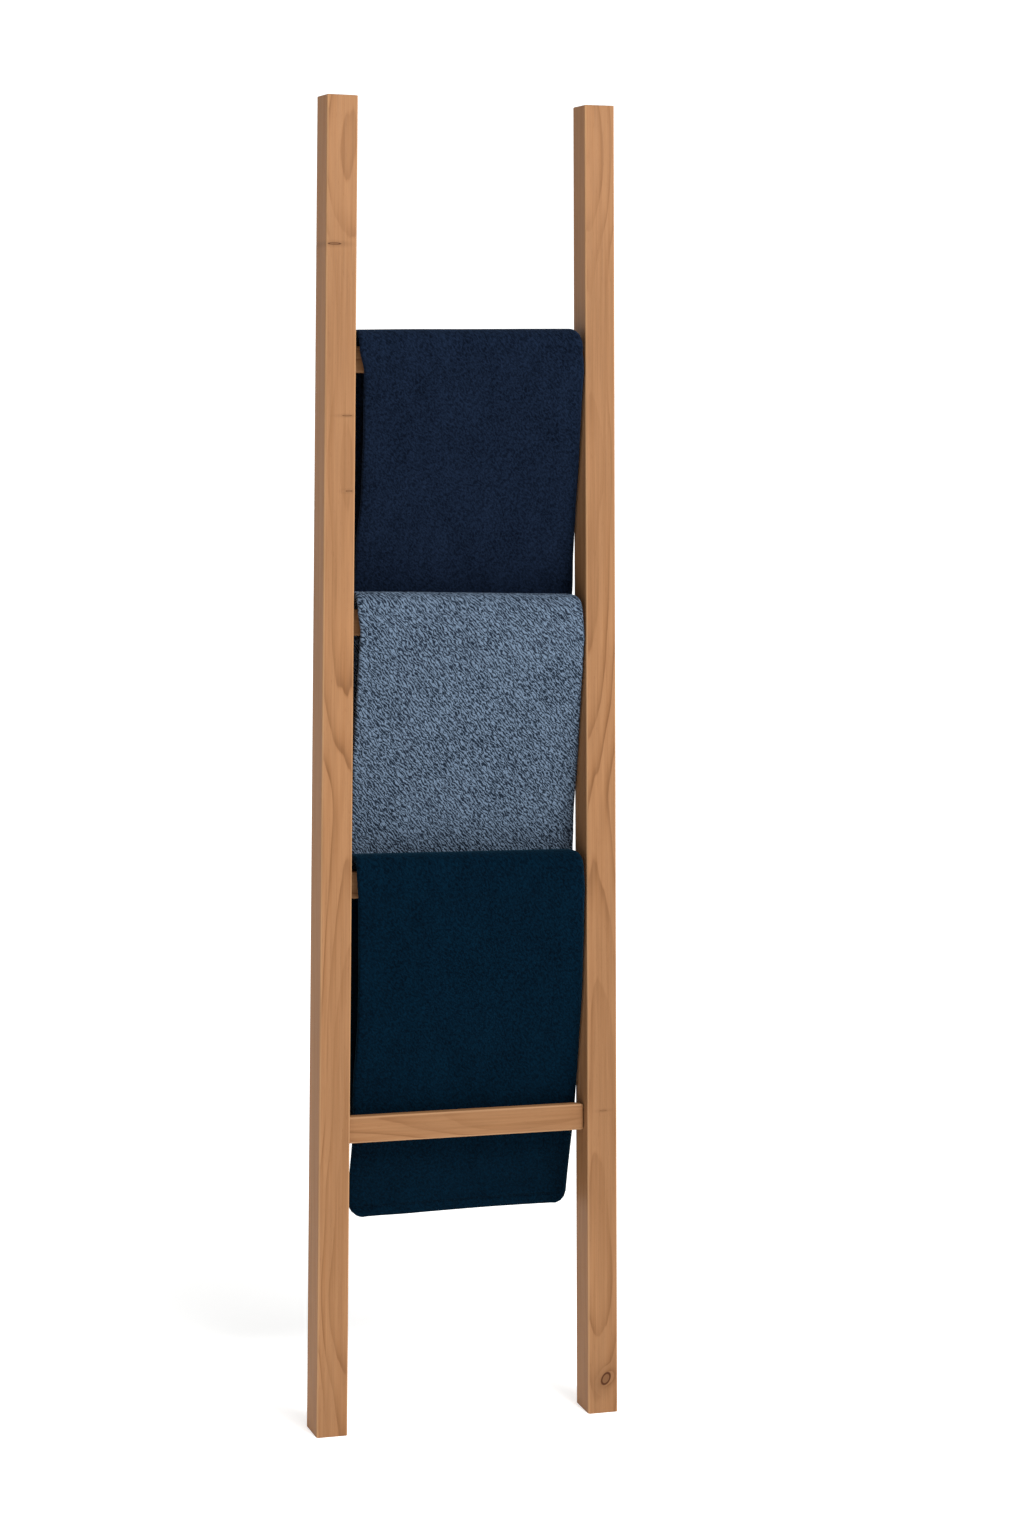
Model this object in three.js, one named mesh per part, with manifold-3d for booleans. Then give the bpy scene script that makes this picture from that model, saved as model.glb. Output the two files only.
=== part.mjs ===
// A leaning wooden blanket ladder with a folded throw hung over each of its three upper rungs.
// Millimetres. +X runs along the rungs, +Y points to the wall, +Z is up. The origin is on the floor, in the
// middle of the space that the ladder takes up.

import * as THREE from "three";
import { mergeVertices } from "three/addons/utils/BufferGeometryUtils.js";
import Module from "manifold-3d";

const wasm = await Module();
wasm.setup();

// Ladder
const LEAN = THREE.MathUtils.degToRad(10);
const RAIL_LENGTH = 1800;
const RAIL_WIDTH = 44;
const RAIL_DEPTH = 44;
const MIDDLE_WIDTH = 428; // over both rails, halfway up them
const SPLAY = 0.006; // how far each rail moves outwards for each millimetre down it
const RAIL_ROUNDING = 3;
const RAIL_END_SOFTENING = 1.2;

const RUNG_HEIGHT = 36;
const RUNG_DEPTH = 20;
const RUNG_ROUNDING = 4;
const RUNG_END_SOFTENING = 3.5;
const LOWEST_RUNG = 408; // along the rail, from its foot to the rung's centre line
const TOP_RUNG = 1446;
const THROW_RUNG_SPACING = 354;
const GAP = 0.3; // between pieces that touch

// Dowels
const DOWEL_RADIUS = 4;
const DOWEL_LENGTH = 40;
const DOWEL_CHAMFER = 1;
const DOWEL_SPACING = 18;
const DOWEL_SIDES = 16;

// Wall pads
const PAD_WIDTH = 28;
const PAD_HEIGHT = 30;
const PAD_THINNEST = 1.6;
const PAD_BELOW_TOP = 2;

// Throws: each is folded to eight layers before it is hung
const THROW_WIDTH = 325;
const STACK_THICKNESS = 16;
const CREST_THICKNESS = 20;
const CREST_ROUNDING = 17;
const FRONT_DROP = 456; // below the rung's centre line
const BACK_DROP = 354;
const HEM_ROUNDING = 5;

// Heights of the rungs along the rails, the lowest first
const RUNGS = [
  { name: "rung_4", along: LOWEST_RUNG },
  { name: "rung_3", along: TOP_RUNG - 2 * THROW_RUNG_SPACING },
  { name: "rung_2", along: TOP_RUNG - THROW_RUNG_SPACING },
  { name: "rung_1", along: TOP_RUNG },
];

const WOOD = new THREE.MeshStandardMaterial({ color: 0xb98a60, roughness: 0.55, metalness: 0 });
const DOWEL_WOOD = new THREE.MeshStandardMaterial({ color: 0xd2b48a, roughness: 0.7, metalness: 0 });
const FELT = new THREE.MeshStandardMaterial({ color: 0x5a5148, roughness: 0.95, metalness: 0 });
const NAVY_FLEECE = new THREE.MeshStandardMaterial({ color: 0x14233a, roughness: 0.95, metalness: 0 });
const SLATE_SHERPA = new THREE.MeshStandardMaterial({ color: 0x627892, roughness: 1, metalness: 0 });
const TEAL_FLEECE = new THREE.MeshStandardMaterial({ color: 0x0c2b40, roughness: 0.9, metalness: 0 });

// A geometry as a manifold-3d solid, moved by a matrix first.
function solid(geometry, matrix = new THREE.Matrix4()) {
  const moved = geometry.clone().applyMatrix4(matrix);
  moved.deleteAttribute("normal");
  moved.deleteAttribute("uv");
  const merged = mergeVertices(moved);
  return new wasm.Manifold(
    new wasm.Mesh({
      numProp: 3,
      vertProperties: new Float32Array(merged.attributes.position.array),
      triVerts: new Uint32Array(merged.index.array),
    }),
  );
}

// A manifold-3d solid as a geometry.
function geometryOf(manifold) {
  const mesh = manifold.getMesh();
  const geometry = new THREE.BufferGeometry();
  geometry.setAttribute("position", new THREE.BufferAttribute(mesh.vertProperties, 3));
  geometry.setIndex(new THREE.BufferAttribute(mesh.triVerts, 1));
  geometry.computeVertexNormals();
  return geometry;
}

// A rectangle with round corners, centred on the origin.
function roundedRectangle(width, height, radius) {
  const x = width / 2 - radius;
  const y = height / 2 - radius;
  const shape = new THREE.Shape();
  shape.absarc(x, -y, radius, -Math.PI / 2, 0);
  shape.absarc(x, y, radius, 0, Math.PI / 2);
  shape.absarc(-x, y, radius, Math.PI / 2, Math.PI);
  shape.absarc(-x, -y, radius, Math.PI, 1.5 * Math.PI);
  return shape;
}

// A bar with softened ends that runs along +Z from 0 to length.
function bar(section, length, softening) {
  const geometry = new THREE.ExtrudeGeometry(section, {
    depth: length - 2 * softening,
    bevelThickness: softening,
    bevelSize: softening,
    bevelOffset: -softening,
    bevelSegments: 3,
    curveSegments: 4,
  });
  return geometry.translate(0, 0, softening);
}

// Half of the width over both rails, at a height along them.
function outerHalfWidth(along) {
  return MIDDLE_WIDTH / 2 - SPLAY * (along - RAIL_LENGTH / 2);
}

// Half of the gap between the rails, measured at the top of a rung, where the gap is narrowest.
function innerHalfWidth(along) {
  return outerHalfWidth(along + RUNG_HEIGHT / 2) - RAIL_WIDTH;
}

// The ladder's own frame: X across, Y from front to back with 0 on the rails' front, Z up the rails.
const ladder = new THREE.Group();
ladder.rotation.x = -LEAN;

// Where the two dowels of one end of a rung lie, in the ladder's frame. side is -1 on the left.
function dowelPlaces(rung, side) {
  const x = side * (innerHalfWidth(rung.along) + GAP / 2);
  return [1, -1].map((up) => new THREE.Vector3(x, RAIL_DEPTH / 2, rung.along + (up * DOWEL_SPACING) / 2));
}

// The blind hole that one dowel needs, in the ladder's frame.
function dowelHole(place) {
  const hole = new THREE.CylinderGeometry(
    DOWEL_RADIUS + GAP,
    DOWEL_RADIUS + GAP,
    DOWEL_LENGTH + 2 * GAP,
    DOWEL_SIDES,
  );
  const matrix = new THREE.Matrix4().makeTranslation(place);
  return solid(hole, matrix.multiply(new THREE.Matrix4().makeRotationZ(Math.PI / 2)));
}

// Everything below the floor, as seen from the ladder's frame.
function belowFloor() {
  const size = 400;
  const block = new THREE.BoxGeometry(4 * size, size, size);
  const matrix = new THREE.Matrix4().makeRotationX(LEAN);
  return solid(block, matrix.multiply(new THREE.Matrix4().makeTranslation(0, 0, -size / 2)));
}

// One rail: a square bar, leaned out by the splay, cut level with the floor and drilled for its dowels.
function rail(side) {
  const spare = 30; // cut off by the floor
  const section = roundedRectangle(RAIL_WIDTH, RAIL_DEPTH, RAIL_ROUNDING);
  const x = side * (outerHalfWidth(0) - RAIL_WIDTH / 2);
  const matrix = new THREE.Matrix4()
    .makeTranslation(x, RAIL_DEPTH / 2, 0)
    .multiply(new THREE.Matrix4().makeRotationY(-side * Math.atan(SPLAY)))
    .multiply(new THREE.Matrix4().makeTranslation(0, 0, -spare));
  const holes = RUNGS.flatMap((rung) => dowelPlaces(rung, side)).map(dowelHole);
  const body = solid(bar(section, RAIL_LENGTH + spare, RAIL_END_SOFTENING), matrix);
  return geometryOf([belowFloor(), ...holes].reduce((left, cut) => left.subtract(cut), body));
}

// One rung: a flat slat between the rails, drilled at both ends.
function rung(at) {
  const length = 2 * (innerHalfWidth(at.along) - GAP);
  const section = roundedRectangle(RUNG_HEIGHT, RUNG_DEPTH, RUNG_ROUNDING);
  const matrix = new THREE.Matrix4()
    .makeTranslation(-length / 2, RAIL_DEPTH / 2, at.along)
    .multiply(new THREE.Matrix4().makeRotationY(Math.PI / 2));
  const holes = [-1, 1].flatMap((side) => dowelPlaces(at, side)).map(dowelHole);
  const body = solid(bar(section, length, RUNG_END_SOFTENING), matrix);
  return geometryOf(holes.reduce((left, cut) => left.subtract(cut), body));
}

// A dowel pin with chamfered ends, along X.
function dowel() {
  const half = DOWEL_LENGTH / 2;
  const outline = [
    new THREE.Vector2(0, -half),
    new THREE.Vector2(DOWEL_RADIUS - DOWEL_CHAMFER, -half),
    new THREE.Vector2(DOWEL_RADIUS, -half + DOWEL_CHAMFER),
    new THREE.Vector2(DOWEL_RADIUS, half - DOWEL_CHAMFER),
    new THREE.Vector2(DOWEL_RADIUS - DOWEL_CHAMFER, half),
    new THREE.Vector2(0, half),
  ];
  return new THREE.LatheGeometry(outline, DOWEL_SIDES).rotateZ(Math.PI / 2);
}

// A prism along X, centred on X = 0, whose section is drawn in Y and Z.
function prism(section, width) {
  const geometry = new THREE.ExtrudeGeometry(section, { depth: width, bevelEnabled: false, curveSegments: 5 });
  const drawnToWorld = new THREE.Matrix4().makeBasis(
    new THREE.Vector3(0, 1, 0),
    new THREE.Vector3(0, 0, 1),
    new THREE.Vector3(1, 0, 0),
  );
  return geometry.applyMatrix4(drawnToWorld).translate(-width / 2, 0, 0);
}

// A point of the ladder's frame as it stands in the room, with the front of the rails' feet at Y = 0.
function inRoom(depth, along) {
  return new THREE.Vector2(
    depth * Math.cos(LEAN) + along * Math.sin(LEAN),
    along * Math.cos(LEAN) - depth * Math.sin(LEAN),
  );
}

// A wedge on the back of a rail near its top. Its outer face is upright, to lie flat on the wall.
function wallPad() {
  const upper = inRoom(RAIL_DEPTH + GAP, RAIL_LENGTH - PAD_BELOW_TOP);
  const lower = inRoom(RAIL_DEPTH + GAP, RAIL_LENGTH - PAD_BELOW_TOP - PAD_HEIGHT);
  const wall = upper.x + PAD_THINNEST;
  const section = new THREE.Shape();
  section.moveTo(lower.x, lower.y);
  section.lineTo(wall, lower.y);
  section.lineTo(wall, upper.y);
  section.lineTo(upper.x, upper.y);
  return prism(section, PAD_WIDTH);
}

// How far a leaning rung reaches from its centre line: to the front or back, and upwards.
function rungReach() {
  const depth = RUNG_DEPTH / 2 - RUNG_ROUNDING;
  const height = RUNG_HEIGHT / 2 - RUNG_ROUNDING;
  return {
    sideways: depth * Math.cos(LEAN) + height * Math.sin(LEAN) + RUNG_ROUNDING,
    upwards: height * Math.cos(LEAN) + depth * Math.sin(LEAN) + RUNG_ROUNDING,
  };
}

// A folded throw: front drop, crest over the rung and back drop. Its origin is the rung's centre line.
function foldedThrow() {
  const inner = rungReach().sideways + GAP;
  const outer = inner + STACK_THICKNESS;
  const slotTop = rungReach().upwards + GAP;
  const crest = slotTop + CREST_THICKNESS;
  const section = new THREE.Shape();
  section.absarc(-outer + HEM_ROUNDING, -FRONT_DROP + HEM_ROUNDING, HEM_ROUNDING, Math.PI, 1.5 * Math.PI);
  section.lineTo(-inner, -FRONT_DROP);
  section.lineTo(-inner, slotTop);
  section.lineTo(inner, slotTop);
  section.lineTo(inner, -BACK_DROP);
  section.absarc(outer - HEM_ROUNDING, -BACK_DROP + HEM_ROUNDING, HEM_ROUNDING, -Math.PI / 2, 0);
  section.absarc(outer - CREST_ROUNDING, crest - CREST_ROUNDING, CREST_ROUNDING, 0, Math.PI / 2);
  section.absarc(-outer + CREST_ROUNDING, crest - CREST_ROUNDING, CREST_ROUNDING, Math.PI / 2, Math.PI);
  return prism(section, THROW_WIDTH);
}

function named(name, geometry, material) {
  const mesh = new THREE.Mesh(geometry, material);
  mesh.name = name;
  return mesh;
}

for (const [word, side] of [["left", -1], ["right", 1]]) {
  ladder.add(named(`${word}_rail`, rail(side), WOOD));
  for (const at of RUNGS) {
    dowelPlaces(at, side).forEach((place, i) => {
      const pin = named(`${at.name}_${word}_dowel_${["upper", "lower"][i]}`, dowel(), DOWEL_WOOD);
      pin.position.copy(place);
      ladder.add(pin);
    });
  }
}
for (const at of RUNGS) {
  ladder.add(named(at.name, rung(at), WOOD));
}

// Everything in the room, with Y = 0 at the front of the rails' feet
const room = new THREE.Group();
room.add(ladder);

for (const [word, side] of [["left", -1], ["right", 1]]) {
  const pad = named(`${word}_wall_pad`, wallPad(), FELT);
  pad.position.x = side * (outerHalfWidth(RAIL_LENGTH) - RAIL_WIDTH / 2);
  room.add(pad);
}

const THROWS = [
  { name: "top_throw", rung: RUNGS[3], material: NAVY_FLEECE },
  { name: "middle_throw", rung: RUNGS[2], material: SLATE_SHERPA },
  { name: "bottom_throw", rung: RUNGS[1], material: TEAL_FLEECE },
];
for (const { name, rung: under, material } of THROWS) {
  const centre = inRoom(RAIL_DEPTH / 2, under.along);
  const piece = named(name, foldedThrow(), material);
  piece.position.set(0, centre.x, centre.y);
  room.add(piece);
}

// The origin goes halfway between the front of the feet and the wall.
const wallPlane = inRoom(RAIL_DEPTH + GAP, RAIL_LENGTH - PAD_BELOW_TOP).x + PAD_THINNEST;
room.position.y = -wallPlane / 2;

const part = new THREE.Group();
part.add(room);

export default part;
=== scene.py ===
"""A leaning blanket ladder with three folded fleece throws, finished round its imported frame.

The file is laid out as an add-on and is run as a script. Lengths are metres, +X runs along the rungs,
+Y points to the wall and +Z is up. The frame holds the ladder's shapes; this file gives them their wood,
and folds the throws that hang over the three upper rungs.
"""

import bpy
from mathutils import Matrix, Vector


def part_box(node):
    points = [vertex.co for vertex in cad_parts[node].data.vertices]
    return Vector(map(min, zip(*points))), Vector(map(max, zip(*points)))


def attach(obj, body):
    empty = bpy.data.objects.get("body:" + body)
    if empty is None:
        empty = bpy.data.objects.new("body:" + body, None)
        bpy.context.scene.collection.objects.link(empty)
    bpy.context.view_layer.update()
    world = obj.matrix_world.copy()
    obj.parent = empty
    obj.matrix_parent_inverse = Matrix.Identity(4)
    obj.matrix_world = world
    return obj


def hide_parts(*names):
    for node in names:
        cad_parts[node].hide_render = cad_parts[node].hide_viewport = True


bl_info = {
    "name": "Blanket ladder with folded throws",
    "version": (1, 0, 0),
    "blender": (4, 5, 0),
    "location": "3D View > Sidebar > Ladder",
    "description": "Finishes a leaning wooden ladder and folds fleece throws over its rungs",
    "category": "Object",
}

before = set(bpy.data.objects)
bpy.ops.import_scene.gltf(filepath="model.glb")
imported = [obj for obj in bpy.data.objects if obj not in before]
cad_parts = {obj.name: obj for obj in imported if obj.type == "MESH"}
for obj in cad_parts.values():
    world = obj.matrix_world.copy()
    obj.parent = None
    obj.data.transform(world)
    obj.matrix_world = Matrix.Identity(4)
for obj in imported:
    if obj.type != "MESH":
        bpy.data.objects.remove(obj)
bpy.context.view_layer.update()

import math

import bmesh
import bpy
import numpy as np
from bpy.props import FloatProperty, FloatVectorProperty, PointerProperty
from mathutils import Matrix, Vector

MM = 0.001
LEAN = math.radians(10)
SPLAY = 0.006  # how far each rail moves outwards for each metre down it
RUNG_HEIGHT = 36 * MM
RUNG_DEPTH = 20 * MM
RUNG_ROUNDING = 4 * MM
UP_THE_RAILS = Vector((0, math.sin(LEAN), math.cos(LEAN)))
THROUGH_THE_RAILS = Vector((0, math.cos(LEAN), -math.sin(LEAN)))


# ---------------------------------------------------------------------------------------------
# Settings
# ---------------------------------------------------------------------------------------------


def colour_property(name, description, default):
    """A colour that a user can change."""
    return FloatVectorProperty(
        name=name, description=description, default=default, subtype="COLOR", size=3, min=0, max=1
    )


def length_property(name, description, default):
    """A length that a user can change, in metres."""
    return FloatProperty(
        name=name, description=description, default=default, min=0, unit="LENGTH", precision=5
    )


class WoodSettings(bpy.types.PropertyGroup):
    """Colours and grain of the rails and rungs."""

    early: colour_property("Early wood", "Colour of the soft part of each ring", (0.338, 0.168, 0.075))
    late: colour_property("Late wood", "Colour of the dense part of each ring", (0.240, 0.106, 0.040))
    knot: colour_property("Knot", "Colour of knots and pores", (0.070, 0.022, 0.006))
    # Painted highlight laid along the eased edges
    edge_highlight: colour_property("Painted edge highlight", "Colour of the eased edges", (0.54, 0.305, 0.155))
    ring: length_property("Ring width", "Distance between two growth rings", 4.2 * MM)


class SmallPartSettings(bpy.types.PropertyGroup):
    """Colours of the dowels and the wall pads."""

    dowel: colour_property("Dowel", "Colour of the beech dowels", (0.62, 0.42, 0.24))
    dowel_grain: colour_property("Dowel grain", "Colour of the flecks in the beech", (0.42, 0.25, 0.13))
    felt: colour_property("Felt", "Colour of the wall pads", (0.115, 0.092, 0.072))
    felt_fibre: colour_property("Felt fibre", "Colour of the pads' light fibres", (0.30, 0.26, 0.21))


class ThrowSizes:
    """Sizes that the three throws share."""

    cut_width: length_property("Cut width", "Width of the throw before it is folded", 1.27)
    cut_length: length_property("Cut length", "Length of the throw before it is folded", 1.78)
    cloth: length_property("Cloth", "Thickness of one layer", 1.5 * MM)
    layer: length_property("Layer", "Height that one layer takes up in the stack", 2.0 * MM)
    hem: length_property("Hem", "Distance of the hem's stitches from the edge", 20 * MM)


class TopThrowSettings(ThrowSizes, bpy.types.PropertyGroup):
    """Sizes and colours of the navy throw."""

    # Deep is the fleece's colour under painted shade between the tufts, light its colour under a painted
    # highlight on them
    deep: colour_property("Deep", "Colour between the tufts", (0.0007, 0.0018, 0.0052))
    light: colour_property("Light", "Colour on the tufts", (0.0085, 0.0165, 0.0370))
    sheen: colour_property("Sheen", "Colour of the pile seen from the side", (0.25, 0.42, 0.75))


class MiddleThrowSettings(ThrowSizes, bpy.types.PropertyGroup):
    """Sizes and colours of the slate-blue curly throw."""

    # Deep is the sherpa's colour under painted shade in the pits, light its colour under a painted
    # highlight on the curls
    deep: colour_property("Deep", "Colour between the curls", (0.0085, 0.0150, 0.0270))
    light: colour_property("Light", "Colour on the curls", (0.150, 0.208, 0.290))
    sheen: colour_property("Sheen", "Colour of the pile seen from the side", (0.60, 0.75, 1.0))


class BottomThrowSettings(ThrowSizes, bpy.types.PropertyGroup):
    """Sizes and colours of the deep teal throw."""

    # Deep is the fleece's colour under painted shade between the tufts, light its colour under a painted
    # highlight on them
    deep: colour_property("Deep", "Colour between the tufts", (0.0001, 0.0018, 0.0050))
    light: colour_property("Light", "Colour on the tufts", (0.0008, 0.0118, 0.0265))
    sheen: colour_property("Sheen", "Colour of the pile seen from the side", (0.15, 0.45, 0.70))


class StageSettings(bpy.types.PropertyGroup):
    """The floor, the light and the lens."""

    floor: colour_property("Floor", "Colour of the floor", (0.96, 0.96, 0.955))
    glow: FloatProperty(name="Glow", description="Strength of the floor's own light", default=0.58, min=0)
    sky: FloatProperty(name="Sky", description="Strength of the light from all round", default=0.39, min=0)
    sun: FloatProperty(name="Key light", description="Strength of the main light", default=0.98, min=0)
    lamp: FloatProperty(name="Top light", description="Power of the high lamp in watts", default=54, min=0)
    lens: FloatProperty(name="Lens", description="Focal length in millimetres", default=93.75, min=1)


# ---------------------------------------------------------------------------------------------
# Finishes
# ---------------------------------------------------------------------------------------------


class Finish:
    """One material, and short calls that add nodes to it."""

    def __init__(self, name, roughness, specular=0.5):
        self.material = bpy.data.materials.new(name)
        self.material.use_nodes = True
        self.nodes = self.material.node_tree.nodes
        self.links = self.material.node_tree.links
        self.shader = self.nodes["Principled BSDF"]
        self.put(self.shader.inputs["Roughness"], roughness)
        self.put(self.shader.inputs["Specular IOR Level"], specular)

    def put(self, socket, value):
        """Joins a node's output to the socket, or sets the socket's own value."""
        if isinstance(value, bpy.types.NodeSocket):
            self.links.new(value, socket)
        elif hasattr(value, "__len__") and len(value) == 3 and socket.type == "RGBA":
            socket.default_value = (*value, 1)
        else:
            socket.default_value = value

    def add(self, kind, inputs, **settings):
        """Adds a node. inputs are its sockets' values by name or number."""
        node = self.nodes.new("ShaderNode" + kind)
        for key, value in settings.items():
            setattr(node, key, value)
        for key, value in inputs.items():
            self.put(node.inputs[key], value)
        return node

    def math(self, operation, a, b=0.0):
        """One sum on two numbers."""
        return self.add("Math", {0: a, 1: b}, operation=operation).outputs[0]

    def distance(self, a, b):
        """How far (a, b) lies from (0, 0)."""
        squares = self.math("ADD", self.math("MULTIPLY", a, a), self.math("MULTIPLY", b, b))
        return self.math("SQRT", squares)

    def off(self, value, centre):
        """How far a value is from a centre, on either side."""
        return self.math("ABSOLUTE", self.math("SUBTRACT", value, centre))

    def spread(self, value, low, high, to_low=0.0, to_high=1.0, smooth=True):
        """Maps low..high onto to_low..to_high, with soft ends."""
        kind = "SMOOTHSTEP" if smooth else "LINEAR"
        inputs = {"Value": value, "From Min": low, "From Max": high, "To Min": to_low, "To Max": to_high}
        return self.add("MapRange", inputs, interpolation_type=kind).outputs["Result"]

    def mix(self, share, a, b, blend="MIX"):
        """Blends two colours."""
        node = self.add("Mix", {0: share, 6: a, 7: b}, data_type="RGBA", blend_type=blend)
        return node.outputs[2]

    def grey(self, value):
        """A colour with that much red, green and blue."""
        return self.add("CombineColor", {0: value, 1: value, 2: value}).outputs[0]

    def noise(self, place, scale, detail=2.0, roughness=0.5, distortion=0.0):
        """Cloudy noise, mostly between 0.25 and 0.75."""
        inputs = {
            "Vector": place,
            "Scale": scale,
            "Detail": detail,
            "Roughness": roughness,
            "Distortion": distortion,
        }
        return self.add("TexNoise", inputs).outputs["Fac"]

    def stretched(self, place, scale, turn=0.0):
        """Coordinates scaled by three numbers, and turned about Z first."""
        turned = self.add("Mapping", {"Vector": place, "Rotation": (0, 0, turn)}).outputs[0]
        return self.add("VectorMath", {0: turned, 1: scale}, operation="MULTIPLY").outputs[0]

    def parts(self, place):
        """The X, Y and Z of some coordinates."""
        return self.add("SeparateXYZ", {0: place}).outputs

    def bump(self, height, distance, strength=1.0, under=None):
        """A normal tilted by a height, on top of another bump if one lies under it."""
        inputs = {"Height": height, "Distance": distance, "Strength": strength}
        if under is not None:
            inputs["Normal"] = under
        return self.add("Bump", inputs).outputs["Normal"]

    def done(self, colour, normal=None, roughness=None):
        """Joins the finished colour, normal and roughness, and returns the material."""
        self.put(self.shader.inputs["Base Color"], colour)
        if normal is not None:
            self.put(self.shader.inputs["Normal"], normal)
        if roughness is not None:
            self.put(self.shader.inputs["Roughness"], roughness)
        return self.material


def points_of(node):
    """The corners of a frame node's mesh."""
    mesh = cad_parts[node].data
    flat = np.zeros(len(mesh.vertices) * 3, np.float32)
    mesh.vertices.foreach_get("co", flat)
    return flat.reshape(-1, 3).astype(float)


def grain_frame(node, along, across):
    """(origin, axes, half sizes) of a straight piece, with Z along its grain and X across its width."""
    z = along.normalized()
    y = z.cross(across).normalized()
    x = y.cross(z)
    axes = np.array([x, y, z])
    local = points_of(node) @ axes.T
    low, high = local.min(0), local.max(0)
    return Vector((low + high) / 2 @ axes), Matrix(axes).transposed(), (high - low) / 2


KNOT_SLANT = 0.3  # how far a knot leans across the piece for its height
WANDER = 50 * MM  # how far the pith strays along the piece
WAVER = 2.2 * MM  # how far single rings stray


def mark_knots(f, knots, across, along):
    """(how far the knots push the rings aside, how dark the wood is near them). Each knot is
    (across, along, half width, half height, darkness) from the middle of the piece."""
    push, dark = 0.0, 0.0
    for at, height, wide, tall, darkness in knots:
        up = f.math("SUBTRACT", along, height)
        aside = f.math("SUBTRACT", f.math("SUBTRACT", across, at), f.math("MULTIPLY", up, KNOT_SLANT))
        away = f.distance(f.math("DIVIDE", aside, wide), f.math("DIVIDE", up, tall))
        push = f.math("ADD", push, f.spread(away, 0.3, 3.0, 0.9 * min(wide, tall), 0.0))
        rim = f.spread(f.off(away, 0.90), 0.08, 0.36, darkness, 0.0)
        core = f.spread(away, 0.75, 1.0, 0.55 * darkness, 0.0)
        halo = f.spread(away, 0.8, 4.5, 0.22 * darkness, 0.0)
        for spot in (rim, core, halo):
            dark = f.math("MAXIMUM", dark, spot)
    return push, dark


def late_wood(f, settings, place, pith, push):
    """How near each point is to the dense, dark end of its growth ring. The rings lie round the pith,
    which wanders along the piece."""
    across, through = f.parts(place)[:2]
    wander = f.math("MULTIPLY", f.noise(f.stretched(place, (6, 6, 1.7)), 1.0, detail=1.5), WANDER)
    waver = f.math("MULTIPLY", f.noise(f.stretched(place, (60, 60, 5)), 1.0), WAVER)
    bend = f.math("ADD", f.math("ADD", wander, waver), push)
    reach = f.distance(f.math("SUBTRACT", across, pith[0]), f.math("SUBTRACT", through, pith[1]))
    phase = f.math("FRACT", f.math("DIVIDE", f.math("ADD", reach, bend), settings.ring))
    return f.math("MULTIPLY", f.spread(phase, 0.30, 0.92), f.spread(phase, 0.93, 1.0, 1.0, 0.0))


def wood(name, settings, piece, pith, knots=(), shade=1.0):
    """Oiled hardwood. pith is where the tree's centre lies beside the piece, across and through it."""
    origin, axes, half = piece
    f = Finish(name, 0.5, specular=0.14)
    solid = f.add("TexCoord", {}).outputs["Object"]
    turn = {"Vector": solid, "Location": origin, "Rotation": axes.to_euler()}
    place = f.add("Mapping", turn, vector_type="TEXTURE").outputs[0]
    across, through, along = f.parts(place)[:3]
    push, dark = mark_knots(f, knots, across, along)
    late = late_wood(f, settings, place, pith, push)

    # Fibres, pores and broad changes of tone
    fibre = f.noise(f.stretched(place, (900, 900, 14)), 1.0, detail=3.0, roughness=0.6)
    strand = f.noise(f.stretched(place, (240, 240, 5)), 1.0)
    broad = f.noise(f.stretched(place, (22, 22, 2.2)), 1.0, detail=3.0, roughness=0.6)
    pores = f.spread(f.noise(f.stretched(place, (1500, 1500, 75)), 1.0, detail=1.0), 0.66, 0.74)
    share = f.math("MULTIPLY", late, f.spread(broad, 0.3, 0.7, 0.15, 0.62))
    share = f.math("ADD", share, f.spread(strand, 0.35, 0.7, -0.15, 0.32, smooth=False))
    colour = f.mix(f.spread(share, -0.1, 1.0, smooth=False), settings.early, settings.late)
    tone = f.spread(broad, 0.3, 0.72, 0.90 * shade, 1.08 * shade)
    tone = f.math("MULTIPLY", tone, f.spread(fibre, 0.3, 0.72, 0.93, 1.05))
    colour = f.mix(1.0, colour, f.grey(tone), "MULTIPLY")
    vein = f.math("MULTIPLY", f.math("POWER", late, 9.0), f.spread(broad, 0.38, 0.66, 0.0, 0.34))
    colour = f.mix(f.math("MAXIMUM", f.math("MULTIPLY", pores, 0.28), vein), colour, settings.knot)
    colour = f.mix(dark, colour, settings.knot)

    # The eased long edges are paler: a painted highlight where they catch the light, broken up by the
    # grain
    side = f.math("SUBTRACT", half[0], f.math("ABSOLUTE", across))
    face = f.math("SUBTRACT", half[1], f.math("ABSOLUTE", through))
    edge = f.spread(f.math("MAXIMUM", side, face), 0.6 * MM, 3.2 * MM, 1.0, 0.0)
    edge = f.math("MULTIPLY", edge, f.spread(strand, 0.25, 0.6, 0.25, 0.75))
    colour = f.mix(edge, colour, settings.edge_highlight)

    relief = f.math("ADD", f.math("MULTIPLY", fibre, 0.6), f.math("MULTIPLY", late, 0.4))
    relief = f.math("SUBTRACT", relief, f.math("MULTIPLY", pores, 0.8))
    gloss = f.spread(fibre, 0.3, 0.7, 0.48, 0.62)
    return f.done(colour, f.bump(relief, 0.10 * MM, 0.5), gloss)


def beech(settings):
    """The dowels: pale straight-grained beech with short dark flecks."""
    f = Finish("Beech", 0.6, specular=0.3)
    solid = f.add("TexCoord", {}).outputs["Object"]
    flecks = f.spread(f.noise(f.stretched(solid, (120, 1600, 1600)), 1.0, detail=1.0), 0.6, 0.7)
    grain = f.noise(f.stretched(solid, (30, 700, 700)), 1.0, detail=3.0)
    colour = f.mix(f.math("MULTIPLY", grain, 0.5), settings.dowel, settings.dowel_grain)
    colour = f.mix(f.math("MULTIPLY", flecks, 0.7), colour, settings.dowel_grain)
    return f.done(colour, f.bump(grain, 0.08 * MM, 0.5))


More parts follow.
